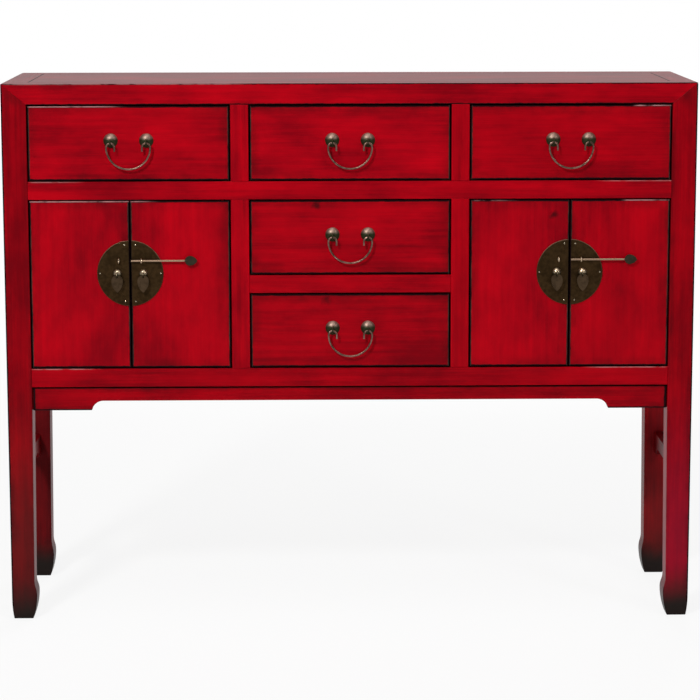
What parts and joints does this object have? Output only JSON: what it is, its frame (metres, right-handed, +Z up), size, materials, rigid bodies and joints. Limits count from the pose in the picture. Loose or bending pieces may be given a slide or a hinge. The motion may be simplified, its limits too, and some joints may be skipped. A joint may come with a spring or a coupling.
{
  "type": "console table",
  "caption": "Red lacquered console table on square hoof-footed legs, with bail-handled drawers and paired doors that carry round split lock plates, leaf drops and sliding bolts.",
  "frame": {"origin": "on the floor, at the middle of the table's box in plan, its pulls included", "axes": "+X along the table to the right, the front faces -Y, +Z up"},
  "size_m": [1.014, 0.2935, 0.8],
  "materials": {
    "red_lacquer": "rubbed red lacquer over dark edges",
    "plain_wood": "plain stained wood",
    "bronze": "dark patinated brass"
  },
  "bodies": {
    "carcase": {"top_panel": "red_lacquer", "stile_upper_left": "red_lacquer", "stile_upper_right": "red_lacquer", "stile_lower_left": "red_lacquer", "stile_lower_right": "red_lacquer", "centre_rail": "red_lacquer", "mid_rail": "red_lacquer", "bottom_rail": "red_lacquer", "apron_front": "red_lacquer", "side_panel_left": "red_lacquer", "side_panel_right": "red_lacquer", "side_rails": "red_lacquer", "side_stretchers": "red_lacquer", "leg_front_left": "red_lacquer", "leg_rear_left": "red_lacquer", "leg_front_right": "red_lacquer", "leg_rear_right": "red_lacquer", "top_rail_front": "red_lacquer", "top_rail_rear": "red_lacquer", "top_rail_left": "red_lacquer", "top_rail_right": "red_lacquer", "back_panel": "plain_wood", "rear_rail": "plain_wood", "cabinet_floor": "plain_wood", "partitions": "plain_wood", "drawer_runners": "plain_wood"},
    "left_drawer": {"drawer_left_front": "red_lacquer", "drawer_left_tray": "plain_wood", "drawer_left_bosses": "bronze"},
    "left_bail": {"drawer_left_bail": "bronze"},
    "middle_drawer": {"drawer_middle_front": "red_lacquer", "drawer_middle_tray": "plain_wood", "drawer_middle_bosses": "bronze"},
    "middle_bail": {"drawer_middle_bail": "bronze"},
    "right_drawer": {"drawer_right_front": "red_lacquer", "drawer_right_tray": "plain_wood", "drawer_right_bosses": "bronze"},
    "right_bail": {"drawer_right_bail": "bronze"},
    "upper_centre_drawer": {"drawer_upper_centre_front": "red_lacquer", "drawer_upper_centre_tray": "plain_wood", "drawer_upper_centre_bosses": "bronze"},
    "upper_centre_bail": {"drawer_upper_centre_bail": "bronze"},
    "lower_centre_drawer": {"drawer_lower_centre_front": "red_lacquer", "drawer_lower_centre_tray": "plain_wood", "drawer_lower_centre_bosses": "bronze"},
    "lower_centre_bail": {"drawer_lower_centre_bail": "bronze"},
    "left_outer_leaf": {"door_left_outer": "red_lacquer", "lock_plate_left_outer": "bronze"},
    "left_outer_drop": {"drop_left_outer": "bronze"},
    "left_inner_leaf": {"door_left_inner": "red_lacquer", "lock_plate_left_inner": "bronze"},
    "left_inner_drop": {"drop_left_inner": "bronze"},
    "right_inner_leaf": {"door_right_inner": "red_lacquer", "lock_plate_right_inner": "bronze"},
    "right_inner_drop": {"drop_right_inner": "bronze"},
    "right_outer_leaf": {"door_right_outer": "red_lacquer", "lock_plate_right_outer": "bronze"},
    "right_outer_drop": {"drop_right_outer": "bronze"},
    "left_bolt": {"bolt_left": "bronze"},
    "right_bolt": {"bolt_right": "bronze"}
  },
  "joints": [
    {"name": "left_drawer_slide", "type": "slide", "parent": "carcase", "child": "left_drawer", "axis": [0, -1, 0], "range_m": [0, 0.18]},
    {"name": "left_bail_swing", "type": "hinge", "parent": "left_drawer", "child": "left_bail", "pos_m": [-0.3225, -0.14175, 0.7142], "axis": [-1, 0, 0], "range_deg": [0, 90]},
    {"name": "middle_drawer_slide", "type": "slide", "parent": "carcase", "child": "middle_drawer", "axis": [0, -1, 0], "range_m": [0, 0.18]},
    {"name": "middle_bail_swing", "type": "hinge", "parent": "middle_drawer", "child": "middle_bail", "pos_m": [0, -0.14175, 0.7142], "axis": [-1, 0, 0], "range_deg": [0, 90]},
    {"name": "right_drawer_slide", "type": "slide", "parent": "carcase", "child": "right_drawer", "axis": [0, -1, 0], "range_m": [0, 0.18]},
    {"name": "right_bail_swing", "type": "hinge", "parent": "right_drawer", "child": "right_bail", "pos_m": [0.3225, -0.14175, 0.7142], "axis": [-1, 0, 0], "range_deg": [0, 90]},
    {"name": "upper_centre_drawer_slide", "type": "slide", "parent": "carcase", "child": "upper_centre_drawer", "axis": [0, -1, 0], "range_m": [0, 0.18]},
    {"name": "upper_centre_bail_swing", "type": "hinge", "parent": "upper_centre_drawer", "child": "upper_centre_bail", "pos_m": [0, -0.14175, 0.5757], "axis": [-1, 0, 0], "range_deg": [0, 90]},
    {"name": "lower_centre_drawer_slide", "type": "slide", "parent": "carcase", "child": "lower_centre_drawer", "axis": [0, -1, 0], "range_m": [0, 0.18]},
    {"name": "lower_centre_bail_swing", "type": "hinge", "parent": "lower_centre_drawer", "child": "lower_centre_bail", "pos_m": [0, -0.14175, 0.4372], "axis": [-1, 0, 0], "range_deg": [0, 90]},
    {"name": "left_outer_leaf_hinge", "type": "hinge", "parent": "carcase", "child": "left_outer_leaf", "pos_m": [-0.4585, -0.12725, 0.3805], "axis": [0, 0, -1], "range_deg": [0, 90]},
    {"name": "left_outer_drop_swing", "type": "hinge", "parent": "left_outer_leaf", "child": "left_outer_drop", "pos_m": [-0.3415, -0.14175, 0.52125], "axis": [-1, 0, 0], "range_deg": [0, 60]},
    {"name": "left_inner_leaf_hinge", "type": "hinge", "parent": "carcase", "child": "left_inner_leaf", "pos_m": [-0.1865, -0.12725, 0.3805], "axis": [0, 0, 1], "range_deg": [0, 90]},
    {"name": "left_inner_drop_swing", "type": "hinge", "parent": "left_inner_leaf", "child": "left_inner_drop", "pos_m": [-0.3035, -0.14175, 0.52125], "axis": [-1, 0, 0], "range_deg": [0, 60]},
    {"name": "right_inner_leaf_hinge", "type": "hinge", "parent": "carcase", "child": "right_inner_leaf", "pos_m": [0.1865, -0.12725, 0.3805], "axis": [0, 0, -1], "range_deg": [0, 90]},
    {"name": "right_inner_drop_swing", "type": "hinge", "parent": "right_inner_leaf", "child": "right_inner_drop", "pos_m": [0.3035, -0.14175, 0.52125], "axis": [-1, 0, 0], "range_deg": [0, 60]},
    {"name": "right_outer_leaf_hinge", "type": "hinge", "parent": "carcase", "child": "right_outer_leaf", "pos_m": [0.4585, -0.12725, 0.3805], "axis": [0, 0, 1], "range_deg": [0, 90]},
    {"name": "right_outer_drop_swing", "type": "hinge", "parent": "right_outer_leaf", "child": "right_outer_drop", "pos_m": [0.3415, -0.14175, 0.52125], "axis": [-1, 0, 0], "range_deg": [0, 60]},
    {"name": "left_bolt_slide", "type": "slide", "parent": "left_inner_leaf", "child": "left_bolt", "axis": [1, 0, 0], "range_m": [-0.061, 0]},
    {"name": "right_bolt_slide", "type": "slide", "parent": "right_outer_leaf", "child": "right_bolt", "axis": [1, 0, 0], "range_m": [-0.061, 0]}
  ]
}
